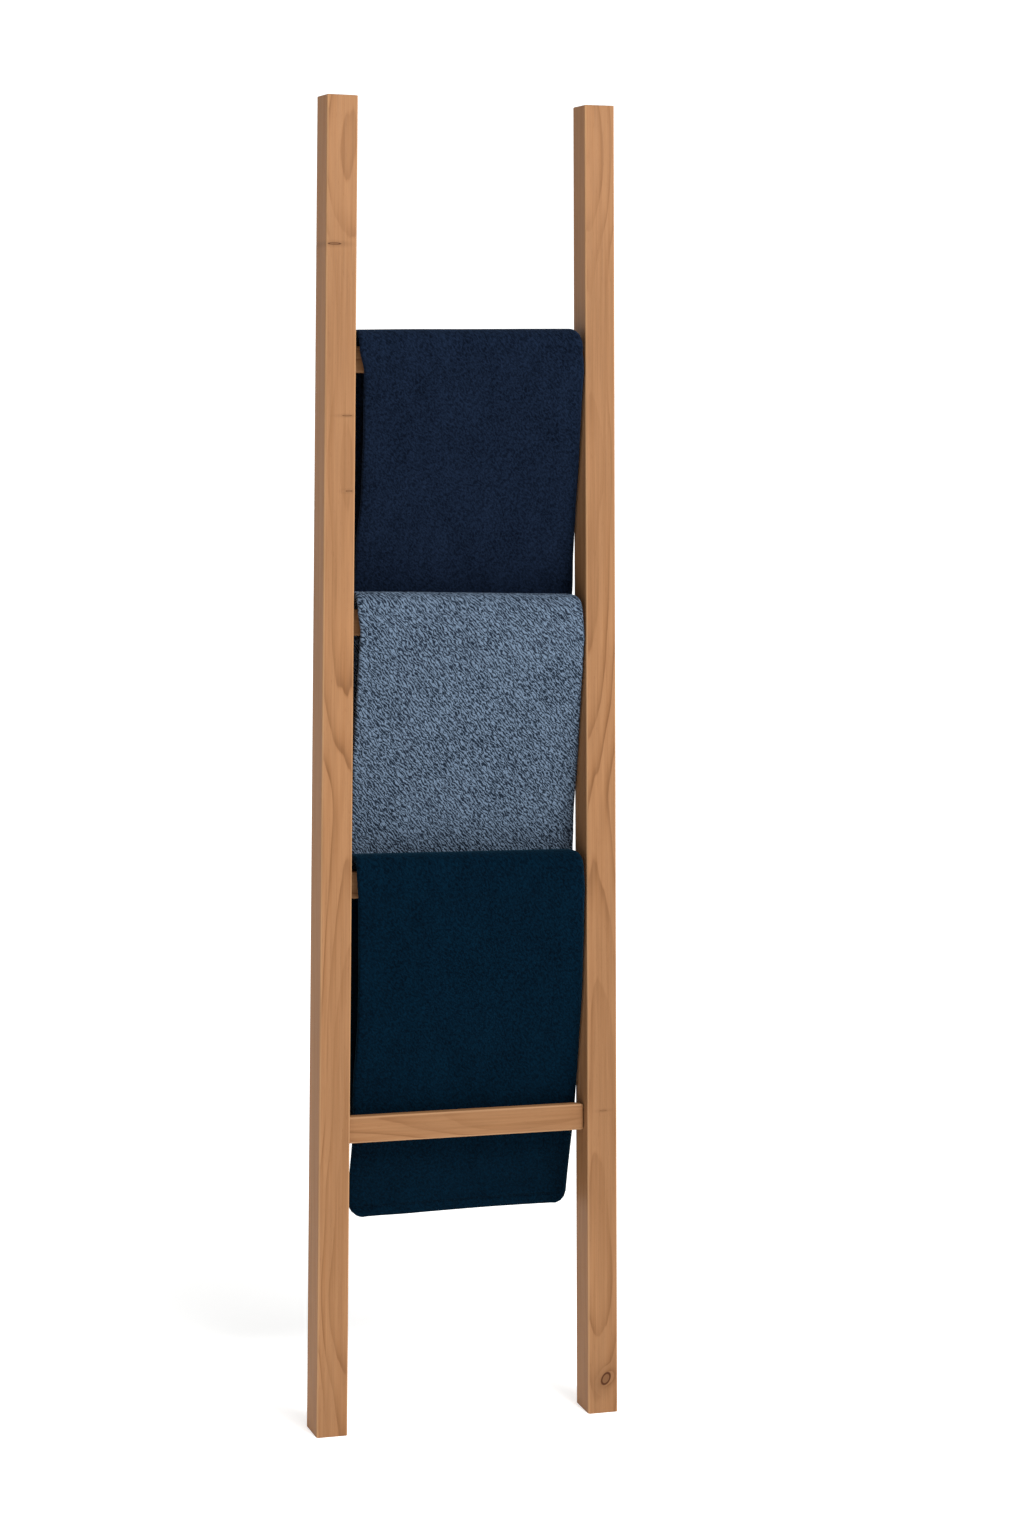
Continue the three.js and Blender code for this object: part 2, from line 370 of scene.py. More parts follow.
def felt(settings):
    """The wall pads: pressed wool with fine crossing fibres."""
    f = Finish("Wool_felt", 0.95, specular=0.15)
    f.put(f.shader.inputs["Sheen Weight"], 0.4)
    f.put(f.shader.inputs["Sheen Roughness"], 0.5)
    solid = f.add("TexCoord", {}).outputs["Object"]
    one = f.noise(f.stretched(solid, (900, 300, 2600), turn=0.5), 1.0, detail=3.0, distortion=0.6)
    two = f.noise(f.stretched(solid, (2600, 300, 900), turn=-0.4), 1.0, detail=3.0, distortion=0.6)
    fibres = f.math("MAXIMUM", f.spread(one, 0.52, 0.68), f.spread(two, 0.52, 0.68))
    clumps = f.noise(solid, 180, detail=3.0)
    shown = f.math("MULTIPLY", fibres, f.spread(clumps, 0.3, 0.7))
    colour = f.mix(shown, settings.felt, settings.felt_fibre)
    return f.done(colour, f.bump(f.math("ADD", fibres, clumps), 0.25 * MM, 0.8))


STITCH_PITCH = 3.6 * MM


def stitches(f, cloth, settings):
    """(how near each point is to a stitch, how near to the stitched line) on the hem. The finishes darken
    the stitched line as painted shade in its groove.
    """
    u, v = f.parts(cloth)[:2]
    stitch, line = 0.0, 0.0
    for along, over, size in ((u, v, settings.cut_length), (v, u, settings.cut_width)):
        from_edge = f.math("MINIMUM", over, f.math("SUBTRACT", size, over))
        off = f.off(from_edge, settings.hem)
        close = f.spread(off, 0.25 * MM, 0.65 * MM, 1.0, 0.0)
        step = f.math("FRACT", f.math("DIVIDE", along, STITCH_PITCH))
        dash = f.spread(f.off(step, 0.5), 0.30, 0.40, 1.0, 0.0)
        stitch = f.math("MAXIMUM", stitch, f.math("MULTIPLY", close, dash))
        line = f.math("MAXIMUM", line, f.spread(off, 0.4 * MM, 2.6 * MM, 1.0, 0.0))
    return stitch, line


def fleece(name, settings):
    """Short brushed fleece: tiny tufts in drifting patches, with a soft pale sheen at grazing angles. Its
    colour carries painted shade between the tufts and a painted highlight on them.
    """
    f = Finish(name, 0.92, specular=0.02)
    f.put(f.shader.inputs["Sheen Weight"], 0.10)
    f.put(f.shader.inputs["Sheen Roughness"], 0.42)
    f.put(f.shader.inputs["Sheen Tint"], settings.sheen)
    cloth = f.add("UVMap", {}, uv_map="Cloth").outputs["UV"]
    slant = f.stretched(cloth, (430, 250, 1), turn=0.7)
    tufts = f.noise(slant, 1.0, roughness=0.6, distortion=0.8)
    pile = f.noise(cloth, 1500, detail=2.0, roughness=0.7)
    brushed = f.noise(f.stretched(cloth, (34, 16, 1)), 1.0, detail=4.0, roughness=0.62, distortion=0.5)
    patches = f.noise(cloth, 6.5, detail=3.0, roughness=0.55)
    stitch, line = stitches(f, cloth, settings)
    relief = f.math("ADD", f.spread(tufts, 0.34, 0.66), f.spread(pile, 0.3, 0.7, 0.0, 0.5))
    share = f.math("ADD", f.math("MULTIPLY", relief, 0.66), f.spread(brushed, 0.25, 0.75, -0.10, 0.10))
    share = f.math("ADD", share, f.spread(patches, 0.3, 0.7, -0.04, 0.04))
    # Painted shade in the groove along the stitched line
    share = f.math("SUBTRACT", share, f.math("MULTIPLY", line, 0.30))
    share = f.math("ADD", share, f.math("MULTIPLY", stitch, 0.25))
    # The tufts' relief sets the colour: painted shade between them, a painted highlight on them
    colour = f.mix(f.spread(share, 0.0, 1.0, smooth=False), settings.deep, settings.light)
    normal = f.bump(relief, 0.55 * MM, 0.75)
    normal = f.bump(f.math("SUBTRACT", stitch, line), 0.5 * MM, 0.8, under=normal)
    return f.done(colour, normal)


CURL_PITCH = 3.7 * MM
CURL_SLANT = math.radians(42)


def sherpa(name, settings):
    """Curly sherpa: short fat curls that lie slantwise, with a painted highlight on top and painted shade
    in the pits between them.
    """
    f = Finish(name, 0.95, specular=0.05)
    f.put(f.shader.inputs["Sheen Weight"], 0.06)
    f.put(f.shader.inputs["Sheen Roughness"], 0.45)
    f.put(f.shader.inputs["Sheen Tint"], settings.sheen)
    cloth = f.add("UVMap", {}, uv_map="Cloth").outputs["UV"]
    slant = f.stretched(cloth, (1, 1, 1), turn=CURL_SLANT)
    over, along = f.parts(slant)[:2]
    bend = f.noise(f.stretched(slant, (170, 95, 1)), 1.0, detail=2.0, roughness=0.55)
    rows = f.math("ADD", f.math("DIVIDE", over, CURL_PITCH), f.math("MULTIPLY", bend, 3.0))
    ridge = f.math("SINE", f.math("MULTIPLY", rows, math.tau))
    broken = f.noise(f.stretched(slant, (400, 230, 1)), 1.0, detail=1.5, distortion=0.8)
    strands = f.noise(cloth, 1900, detail=2.0, roughness=0.7)
    drift = f.noise(cloth, 13, detail=3.0, roughness=0.6)
    stitch, line = stitches(f, cloth, settings)
    broken = f.spread(broken, 0.28, 0.72, 0.02, 0.96, smooth=False)
    curls = f.math("ADD", f.math("MULTIPLY", ridge, 0.34), broken)
    share = f.math("ADD", f.spread(curls, 0.12, 0.95), f.spread(strands, 0.3, 0.7, -0.10, 0.10))
    share = f.math("ADD", share, f.spread(drift, 0.3, 0.7, -0.06, 0.06))
    # Painted shade in the groove along the stitched line
    share = f.math("SUBTRACT", share, f.math("MULTIPLY", line, 0.20))
    # The curls' relief sets the colour: painted shade in the pits, a painted highlight on the tops
    colour = f.mix(f.spread(share, 0.0, 1.0, smooth=False), settings.deep, settings.light)
    normal = f.bump(f.math("ADD", curls, f.math("MULTIPLY", strands, 0.3)), 1.3 * MM, 0.9)
    normal = f.bump(f.math("SUBTRACT", stitch, line), 0.6 * MM, 0.8, under=normal)
    return f.done(colour, normal)


def dress(node, material):
    """Gives a frame node its finish. Its shape stays the frame's."""
    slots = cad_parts[node].material_slots
    if not slots:
        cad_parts[node].data.materials.append(material)
    for held in slots:
        held.material = material


# ---------------------------------------------------------------------------------------------
# Folded throws
# ---------------------------------------------------------------------------------------------

# The three hung throws, in millimetres.
# left, right: how far each edge lies from the middle, as (distance along the throw from the top of its
#     crest, edge). Distances in front of the crest are below 0, and the hem is at about -480.
# crest: how far the loose crest rises at its left and right ends.
# belly: how far the front swells outwards, between the crest and belly_end in front of it.
# corner: the radii of the hem's left and right corners.
THROWS = {
    "top_throw": {
        "rung": "rung_1",
        "seed": 11,
        "left": ((-480, -150), (-320, -151), (-265, -153), (-205, -149.5), (-120, -152), (-50, -155),
                 (-30, -156), (-14, -162), (0, -163.5), (420, -157)),
        "right": ((-480, 172), (-330, 171), (-290, 168), (-200, 166.4), (-110, 165.3), (-20, 165),
                  (0, 162), (420, 160)),
        "crest": (4.2, 8.8),
        "belly": 2.2,
        "belly_end": 400,
        "corner": (16, 13),
    },
    "middle_throw": {
        "rung": "rung_2",
        "seed": 23,
        "left": ((-480, -155), (-320, -157), (-210, -162), (-130, -162), (-45, -160), (-25, -160.5),
                 (-10, -164), (0, -165), (420, -160)),
        "right": ((-480, 173), (-330, 172), (-290, 169.8), (-228, 169.4), (-128, 168.4), (-40, 167.8),
                  (0, 164), (420, 161)),
        "crest": (5.0, 1.4),
        "belly": 2.0,
        "belly_end": 400,
        "corner": (16, 13),
    },
    "bottom_throw": {
        "rung": "rung_3",
        "seed": 37,
        "left": ((-480, -150), (-420, -151.5), (-290, -157), (-205, -156), (-120, -159), (-40, -163),
                 (0, -165.5), (420, -160)),
        "right": ((-480, 173), (-436, 172.6), (-386, 172), (-190, 171.2), (-90, 170), (-20, 168),
                  (0, 166), (420, 163)),
        "crest": (5.0, 3.0),
        "belly": 13.0,
        "belly_end": 475,
        "corner": (21, 14),
    },
}

FRONT_DROP = 460 * MM  # below the rung's centre line
GAP = 0.4 * MM  # between the rung and the cloth
STEPS_IN_TURN = 10
HIDDEN_STEP = 25 * MM  # between columns that lie inside the stack
HIDDEN_FRONT_STEP = 16 * MM  # between rows that lie inside the stack
HIDDEN_BACK_STEP = 20 * MM
TURN_ROOM = 8 * MM  # what the turns at the stack's edges take from each run
INNER_TUCK = 2.5 * MM  # how far the inner runs end above the outer one
THICK_EDGE = 0.8 * MM  # how far the cloth's cut edge is rounded
STITCH_DENT = 1.0 * MM  # half the width of the groove that the stitches pull
INNER_END = 0.010  # where the cloth's inner edge ends, as a share of a run's width
OUTER_END = 0.004  # where its other edge ends
CREST_OPENING = 0.9  # how much wider the turns at the stack's right edge get over the crest
HALF_WIDTH = 160 * MM  # where the crest reaches its rise at each end
HEM_FILL = 0.22  # how much thicker the turned hem is


def soft_noise(u, v, size, seed):
    """Smooth noise from -1 to 1 whose bumps are about size apart."""
    lattice = np.random.default_rng(seed).uniform(-1, 1, (64, 64))
    a, b = u / size + 400, v / size + 400
    i, j = np.floor(a).astype(int), np.floor(b).astype(int)
    s, t = a - i, b - j
    s, t = s * s * (3 - 2 * s), t * t * (3 - 2 * t)
    i, j, k, m = i % 64, j % 64, (i + 1) % 64, (j + 1) % 64
    low = lattice[i, j] * (1 - s) + lattice[k, j] * s
    high = lattice[i, m] * (1 - s) + lattice[k, m] * s
    return low * (1 - t) + high * t


def smooth_edge(points, at):
    """An edge through (distance, place) points in millimetres, rounded off and read at distances in
    metres."""
    step, softness = 1.0, 7.0
    where = np.arange(-620, 560, step)
    line = np.interp(where, *np.array(points, float).T)
    reach = np.arange(-3 * softness, 3 * softness + step, step)
    weight = np.exp(-((reach / softness) ** 2) / 2)
    rounded = np.convolve(np.pad(line, len(reach) // 2, "edge"), weight / weight.sum(), "valid")
    return np.interp(at / MM, where, rounded) * MM


def round_corner(from_hem, radius):
    """How far a rounded corner draws an edge in, at a distance from the hem."""
    short = radius - np.clip(from_hem, 0, radius)
    return radius - np.sqrt(radius**2 - short**2)


def over_the_rung():
    """The line that the innermost layer follows, up the front, over a leaning rung and down the back.
    Returns (points in Y and Z from the rung's centre, outward directions, turning angles, distances from
    the top)."""
    up = np.array([math.sin(LEAN), math.cos(LEAN)])
    through = np.array([math.cos(LEAN), -math.sin(LEAN)])
    half_up = (RUNG_HEIGHT / 2 - RUNG_ROUNDING) * up
    half_through = (RUNG_DEPTH / 2 - RUNG_ROUNDING) * through
    radius = RUNG_ROUNDING + GAP
    corners = (-half_up - half_through, half_up - half_through, half_up + half_through)
    turns = ((0, LEAN, 2), (LEAN, LEAN + math.pi / 2, 14), (LEAN + math.pi / 2, math.pi, 12))
    centres, angles = [], []
    for number, (corner, (start, end, steps)) in enumerate(zip(corners, turns)):
        if number:
            share = np.linspace(0, 1, 6)[1:-1, None]
            centres.append(corners[number - 1] * (1 - share) + corner * share)
            angles.append(np.full(len(share), start))
        angle = np.linspace(start, end, steps + 1)
        centres.append(np.tile(corner, (len(angle), 1)))
        angles.append(angle)
    centres, angles = np.concatenate(centres), np.concatenate(angles)
    outward = np.stack([-np.cos(angles), np.sin(angles)], axis=1)
    points = centres + radius * outward
    gone = np.concatenate([[0], np.cumsum(np.linalg.norm(np.diff(points, axis=0), axis=1))])
    top = np.interp(math.pi / 2, angles, gone)
    return points, outward, angles, gone - top


def spaced_steps(length, coarse, hem):
    """Distances from a hemmed edge: close together at the edge and the stitches, coarse elsewhere."""
    # Shares of the hem's width, whose stitches are at 1
    cut_edge = (0, 0.006, 0.0175, 0.04, 0.125, 0.4, 0.65, 0.825)
    stitch_line = (0.93, 0.97, 1, 1.03, 1.07, 1.175)
    near = np.array(cut_edge + stitch_line) * hem
    rest = np.linspace(near[-1], length, max(2, round((length - near[-1]) / coarse) + 1))[1:]
    return np.concatenate([near, rest])


def folded_columns(settings, step):
    """The cloth's path across the folded stack, as (share of the width, reach past the turn's centre,
    height in the stack, outward direction, distance along the cut width) for each column.
    The doubled cloth is folded in half and in half again, so its outer run wraps round the others."""
    pitch = 2 * settings.layer  # two layers lie together in every run
    run = settings.cut_width / 4 - TURN_ROOM
    share, reach, height, turned, length = [], [], [], [], []

    def straight(level, start, end, out, marks):
        for mark in marks:
            share.append(start + (end - start) * mark)
            reach.append(0)
            height.append(level)
            turned.append((0, out))
            length.append(run * abs(end - start))

    def turn(level, radius, start, end, side, out):
        for k in range(1, STEPS_IN_TURN):
            angle = start + (end - start) * k / STEPS_IN_TURN
            share.append(0 if side < 0 else 1)
            reach.append(side * radius * math.cos(angle))
            height.append(level + radius * math.sin(angle))
            turned.append((out * side * math.cos(angle), out * math.sin(angle)))
            length.append(0)

    hemmed = spaced_steps(run, HIDDEN_STEP, settings.hem) / run
    inner = np.linspace(0, 1, round(run / HIDDEN_STEP) + 1)
    outer = np.linspace(0, 1, round(run / step) + 1)
    quarter = math.pi / 2
    straight(0.5 * pitch, INNER_END, 1, -1, hemmed)
    turn(2 * pitch, 1.5 * pitch, -quarter, quarter, 1, 1)
    straight(3.5 * pitch, 1, 0, 1, outer)
    turn(3 * pitch, 0.5 * pitch, quarter, -quarter, -1, 1)
    straight(2.5 * pitch, 0, 1, -1, inner)
    turn(2 * pitch, 0.5 * pitch, quarter, -quarter, 1, -1)
    straight(1.5 * pitch, 1, OUTER_END, 1, 1 - hemmed[::-1])
    share, reach, height, turned = (np.array(x, float) for x in (share, reach, height, turned))
    across = share * run + reach
    gone = np.concatenate([[0], np.cumsum(np.hypot(np.diff(across), np.diff(height)))])
    return share, reach, height, turned, gone * settings.cut_width / gone[-1]


def stack_rows(front_length, back_length, crest_count, settings, step):
    """(part, how far along it, side, how far past the fold) for each row down the doubled cloth. Part 0
    hangs in front, 1 goes over the crest and 2 hangs behind. Side 1 is the outer layer of each pair and
    -1 the inner one, and the rows between them go round the fold at the back's lower end."""
    crest = np.arange(crest_count)
    front = spaced_steps(front_length, step, settings.hem)[:-1] / front_length
    back = np.linspace(0, 1, round(back_length / (1.4 * step)) + 1)[1:]
    hidden_front = spaced_steps(front_length, HIDDEN_FRONT_STEP, settings.hem)[:-1] / front_length
    hidden_back = np.linspace(0, 1, round(back_length / HIDDEN_BACK_STEP) + 1)[1:]
    rows = [(0, x, 1, 0) for x in front] + [(1, x, 1, 0) for x in crest] + [(2, x, 1, 0) for x in back]
    for k in range(1, STEPS_IN_TURN):
        angle = math.pi * k / STEPS_IN_TURN
        rows.append((2, 1, math.cos(angle), math.sin(angle)))
    rows += [(2, x, -1, 0) for x in hidden_back[::-1]] + [(1, x, -1, 0) for x in crest[::-2]]
    rows += [(0, x, -1, 0) for x in hidden_front[::-1]]
    return [np.array(x)[:, None] for x in zip(*rows)]


def edge_turns(plan, settings, at, from_hem, wide_turn):
    """(left, right): where the turns at the stack's two edges are centred. The corners at the hem are
    round."""
    left, right = smooth_edge(plan["left"], at), smooth_edge(plan["right"], at)
    left = left + 0.7 * MM * soft_noise(at, at * 0, 0.06, plan["seed"])
    right = right + 0.4 * MM * soft_noise(at, at * 0, 0.07, plan["seed"] + 1)
    inset_left, inset_right = (round_corner(from_hem, radius * MM) for radius in plan["corner"])
    outer_turn = 4 * settings.layer * wide_turn
    return left + inset_left + 2 * settings.layer, right - inset_right - outer_turn


def looseness(plan, settings, x, at, over):
    """(how far the whole stack stands off its path, how much its layers spread). The crest is loose, and
    the front swells a little between the crest and the hem."""
    rise = np.interp(x, (-HALF_WIDTH, HALF_WIDTH), plan["crest"]) * MM * over
    spread = 1 + 0.6 * rise / (4 * settings.layer)
    shown = np.clip((-at - 0.01) / 0.20, 0, 1) * np.clip((plan["belly_end"] * MM + at) / 0.13, 0, 1)
    shown = shown * shown * (3 - 2 * shown)
    swell = plan["belly"] * MM * shown * (0.85 + 0.15 * soft_noise(x, at, 0.17, plan["seed"] + 2))
    ripple = 0.55 * MM * soft_noise(x * 1.6, at, 0.055, plan["seed"] + 3) * np.clip(-at / 0.05, 0, 1)
    lift = 0.4 * rise * (1 + 0.12 * soft_noise(x, at * 0, 0.09, plan["seed"] + 4))
    return lift + swell + ripple, spread


def cloth_thickness(settings, u, v):
    """(half the cloth's thickness, how full the cloth is towards its cut edge) at places on the flat
    cloth: thicker at the hems, thin at the stitches and round at the cut edge."""
    edge_u = np.minimum(u, settings.cut_width - u)
    edge_v = np.minimum(v, settings.cut_length - v)
    edge = np.minimum(edge_u, edge_v)
    hemmed = 1 + HEM_FILL * np.clip((settings.hem - edge) / (2 * MM), 0, 1)
    sewn = np.minimum(abs(edge_u - settings.hem), abs(edge_v - settings.hem))
    sewn = 1 - 0.45 * np.exp(-((sewn / STITCH_DENT) ** 2))
    full = np.sqrt(np.clip(1 - np.clip(1 - edge / THICK_EDGE, 0, 0.97) ** 2, 0, 1))
    return settings.cloth * hemmed * sewn * full / 2, full


def curl_relief(plan, u, v):
    """The rise and fall of curls that lie slantwise on the flat cloth."""
    slant_a, slant_b = u * 0.74 + v * 0.67, v * 0.74 - u * 0.67
    small = soft_noise(slant_a, slant_b * 1.6, 0.0068, plan["seed"] + 5)
    return small + 0.7 * soft_noise(slant_a * 1.3, slant_b, 0.0105, plan["seed"] + 6)


def folded_throw(name, settings, step, nub):
    """One throw as a single closed sheet: folded to eight layers, and hung over its rung."""
    plan = THROWS[name]
    low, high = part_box(plan["rung"])
    rung = (low + high) / 2
    share, reach, height, turned, across_cut = folded_columns(settings, step)
    points, outward, angles, distance = over_the_rung()
    front_length = FRONT_DROP + points[0][1]
    crest_length = distance[-1] - distance[0]
    fold_length = math.pi * 4 * settings.layer
    back_length = settings.cut_length / 2 - front_length - crest_length - fold_length
    rows = stack_rows(front_length, back_length, len(points), settings, step)
    part, along, side, past = rows

    # How far each row hangs, and where it is on the path over the rung
    outermost = height > 6 * settings.layer
    hem_curve = 1.2 * MM * np.cos(share[None, :] * math.pi * 1.3)
    hem_drop = front_length + hem_curve - np.where(outermost, 0, INNER_TUCK)[None, :]
    behind = back_length + (4 * settings.layer - height[None, :]) * 1.7
    hang = np.where(part == 0, hem_drop * (1 - along), np.where(part == 2, behind * along, 0))
    spot = np.where(part == 1, along, np.where(part == 0, 0, len(points) - 1)).astype(int)[:, 0]
    base, out, angle = points[spot], outward[spot], angles[spot]
    at = distance[spot][:, None] + np.where(part == 0, -hang, hang)
    over = np.sin(angle)[:, None] ** 1.3

    # The middle line of the doubled cloth, row by row and column by column
    from_hem = np.where(part == 0, hem_drop - hang, np.where(part == 2, behind - hang, 1))
    wide_turn = 1 + CREST_OPENING * over
    turn_left, turn_right = edge_turns(plan, settings, at, from_hem, wide_turn)
    stretch = np.where(share[None, :] > 0.5, wide_turn, 1.0)
    sideways = reach[None, :] + side * settings.layer / 2 * turned[:, 0]
    x = turn_left + (turn_right - turn_left) * share + sideways * stretch
    stand_off, spread = looseness(plan, settings, x, at, over)
    level = stand_off + spread * (height + side * settings.layer / 2 * turned[:, 1])
    hang = hang + past * settings.layer / 2
    y = rung.y + base[:, None, 0] + level * out[:, None, 0]
    z = rung.z + base[:, None, 1] + level * out[:, None, 1] - hang
    middle = np.stack(np.broadcast_arrays(x, y, z), axis=2)

    # Both faces of the cloth
    gone = np.linalg.norm(np.diff(middle, axis=0), axis=2).mean(1)
    down_cut = np.concatenate([[0], np.cumsum(gone)])
    down_cut = down_cut * settings.cut_length / down_cut[-1]
    normal = np.cross(np.gradient(middle, axis=1), np.gradient(middle, axis=0))
    normal /= np.maximum(np.linalg.norm(normal, axis=2, keepdims=True), 1e-12)
    front_rows = int(((part == 0) & (side == 1)).sum())
    if normal[front_rows // 2, np.argmax(height)][1] > 0:
        normal = -normal
    u, v = across_cut[None, :], down_cut[:, None]
    thick, full = cloth_thickness(settings, u, v)
    pile = nub * curl_relief(plan, u, v) * full
    faces_out = middle + normal * (thick + pile)[..., None]
    faces_in = middle - normal * thick[..., None]
    return sheet_object(name.capitalize(), faces_out, faces_in, across_cut, down_cut)


def sheet_object(name, one, other, across_cut, down_cut):
    """A closed sheet between two grids of points, with the flat cloth's own sizes as its UV map."""
    count, wide = one.shape[:2]
    grid = np.arange(count * wide).reshape(count, wide)
    quads = np.stack([grid[:-1, :-1], grid[:-1, 1:], grid[1:, 1:], grid[1:, :-1]], axis=2).reshape(-1, 4)
    rim = np.concatenate([grid[0, :], grid[1:, -1], grid[-1, -2::-1], grid[-2:0:-1, 0]])
    after = np.roll(rim, -1)
    far = count * wide
    walls = np.stack([rim, rim + far, after + far, after], axis=1)
    faces = np.concatenate([quads, quads[:, ::-1] + far, walls])
    points = np.concatenate([one.reshape(-1, 3), other.reshape(-1, 3)])
    a, b, c, d = (points[faces[:, k]] for k in range(4))
    if (np.cross(a - c, b - d) * (a + c)).sum() < 0:  # the faces must look outwards
        faces = faces[:, ::-1]
    mesh = bpy.data.meshes.new(name)
    mesh.from_pydata(points.tolist(), [], faces.tolist())
    flat = np.stack(np.broadcast_arrays(across_cut[None, :], down_cut[:, None]), axis=2).reshape(-1, 2)
    flat = np.concatenate([flat, flat])
    layer = mesh.uv_layers.new(name="Cloth")
    layer.uv.foreach_set("vector", flat[faces.ravel()].astype(np.float32).ravel())
    mesh.shade_smooth()
    piece = bpy.data.objects.new(name, mesh)
    bpy.context.scene.collection.objects.link(piece)
    return piece


def hang_throw(name, settings, material, step=5 * MM, nub=0.0):
    """Makes a throw, gives it its finish, and lets it stand for its solid in the frame."""
    piece = folded_throw(name, settings, step, nub)
    piece.data.materials.append(material)
    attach(piece, name)
    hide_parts(name)


# ---------------------------------------------------------------------------------------------
# Operators
# ---------------------------------------------------------------------------------------------


class LADDER_OT_rails(bpy.types.Operator):
    """Gives both rails their wood"""

    bl_idname = "ladder.rails"
    bl_label = "Rails"

    def execute(self, context):
        settings = context.scene.ladder_wood
        knots = {
            "left_rail": (
                (-10.5 * MM, 0.700, 9.0 * MM, 1.5 * MM, 0.95),
                (9.4 * MM, 0.470, 6.5 * MM, 0.9 * MM, 0.8),
                (13.0 * MM, 0.369, 4.5 * MM, 1.2 * MM, 0.7),
            ),
            "right_rail": (
                (4.0 * MM, -0.853, 6.4 * MM, 8.2 * MM, 1.0),
                (1.0 * MM, -0.483, 5.0 * MM, 1.0 * MM, 0.5),
            ),
        }
        for side, node, pith in ((-1, "left_rail", (0.016, 0.085)), (1, "right_rail", (-0.021, 0.096))):
            along = UP_THE_RAILS + Vector((-side * SPLAY, 0, 0))
            piece = grain_frame(node, along, Vector((1, 0, 0)))
            shade = 1.0 if side < 0 else 0.94
            dress(node, wood("Wood_" + node, settings, piece, pith, knots[node], shade=shade))
        return {"FINISHED"}


class LADDER_OT_rungs(bpy.types.Operator):
    """Gives every rung its wood, each cut from another part of the board"""

    bl_idname = "ladder.rungs"
    bl_label = "Rungs"

    def execute(self, context):
        settings = context.scene.ladder_wood
        for number in range(1, 5):
            node = f"rung_{number}"
            piece = grain_frame(node, Vector((1, 0, 0)), UP_THE_RAILS)
            pith = (0.011 * number - 0.03, 0.05 + 0.013 * number)
            dress(node, wood("Wood_" + node, settings, piece, pith, shade=0.95))
        return {"FINISHED"}


class LADDER_OT_small_parts(bpy.types.Operator):
    """Gives the dowels and the wall pads their beech and felt"""

    bl_idname = "ladder.small_parts"
    bl_label = "Dowels and wall pads"

    def execute(self, context):
        settings = context.scene.ladder_small_parts
        pin, pad = beech(settings), felt(settings)
        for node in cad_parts:
            if "dowel" in node:
                dress(node, pin)
            elif "pad" in node:
                dress(node, pad)
        return {"FINISHED"}


class LADDER_OT_top_throw(bpy.types.Operator):
    """Folds the navy fleece and hangs it over the top rung"""

    bl_idname = "ladder.top_throw"
    bl_label = "Top throw"

    def execute(self, context):
        settings = context.scene.ladder_top_throw
        hang_throw("top_throw", settings, fleece("Navy_fleece", settings))
        return {"FINISHED"}


class LADDER_OT_middle_throw(bpy.types.Operator):
    """Folds the slate-blue sherpa and hangs it over the second rung"""

    bl_idname = "ladder.middle_throw"
    bl_label = "Middle throw"

    def execute(self, context):
        settings = context.scene.ladder_middle_throw
        cloth = sherpa("Slate_sherpa", settings)
        hang_throw("middle_throw", settings, cloth, step=2.6 * MM, nub=0.28 * MM)
        return {"FINISHED"}


class LADDER_OT_bottom_throw(bpy.types.Operator):
    """Folds the teal fleece and hangs it over the third rung"""

    bl_idname = "ladder.bottom_throw"
    bl_label = "Bottom throw"

    def execute(self, context):
        settings = context.scene.ladder_bottom_throw
        hang_throw("bottom_throw", settings, fleece("Teal_fleece", settings))
        return {"FINISHED"}


class LADDER_OT_stage(bpy.types.Operator):
    """Lays the floor, and sets up the light and the camera"""

    bl_idname = "ladder.stage"
    bl_label = "Stage"

    def execute(self, context):
        settings = context.scene.ladder_stage
        lay_floor(settings)
        light_room(settings)
        place_camera(settings)
        return {"FINISHED"}


# ---------------------------------------------------------------------------------------------
# Stage
# ---------------------------------------------------------------------------------------------

FLOOR_RADIUS = 200
BRIGHT_SIDE = (0.48, -0.74, 0.47)  # the way to the strongest light from all round
CAMERA_PLACE = (-1.959, -4.947, 2.119)
CAMERA_YAW = math.radians(22.055)  # turned from +Y towards +X
CAMERA_PITCH = math.radians(9.704)  # looking down
CAMERA_ROLL = math.radians(-3.889)
CAMERA_SHIFT = -0.156


def lay_floor(settings):
    """A wide plain floor."""
    f = Finish("Floor", 0.9, specular=0.1)
    solid = f.add("TexCoord", {}).outputs["Object"]
    cloud = f.noise(solid, 1.5, detail=3.0)
    shade = f.spread(cloud, 0.2, 0.8, 0.985, 1.0)
    f.put(f.shader.inputs["Emission Color"], settings.floor)
    f.put(f.shader.inputs["Emission Strength"], settings.glow)
    material = f.done(f.mix(1.0, tuple(settings.floor), f.grey(shade), "MULTIPLY"))
    mesh = bpy.data.meshes.new("Floor")
    disc = bmesh.new()
    bmesh.ops.create_circle(disc, cap_ends=True, segments=96, radius=FLOOR_RADIUS)
    disc.to_mesh(mesh)
    disc.free()
    mesh.materials.append(material)
    floor = bpy.data.objects.new("Floor", mesh)
    bpy.context.scene.collection.objects.link(floor)


def add_light(name, kind, place, target, **settings):
    """A light at a place, turned towards its target."""
    light = bpy.data.lights.new(name, kind)
    for key, value in settings.items():
        setattr(light, key, value)
    lamp = bpy.data.objects.new(name, light)
    lamp.location = place
    lamp.rotation_euler = (Vector(target) - Vector(place)).to_track_quat("-Z", "Y").to_euler()
    bpy.context.scene.collection.objects.link(lamp)


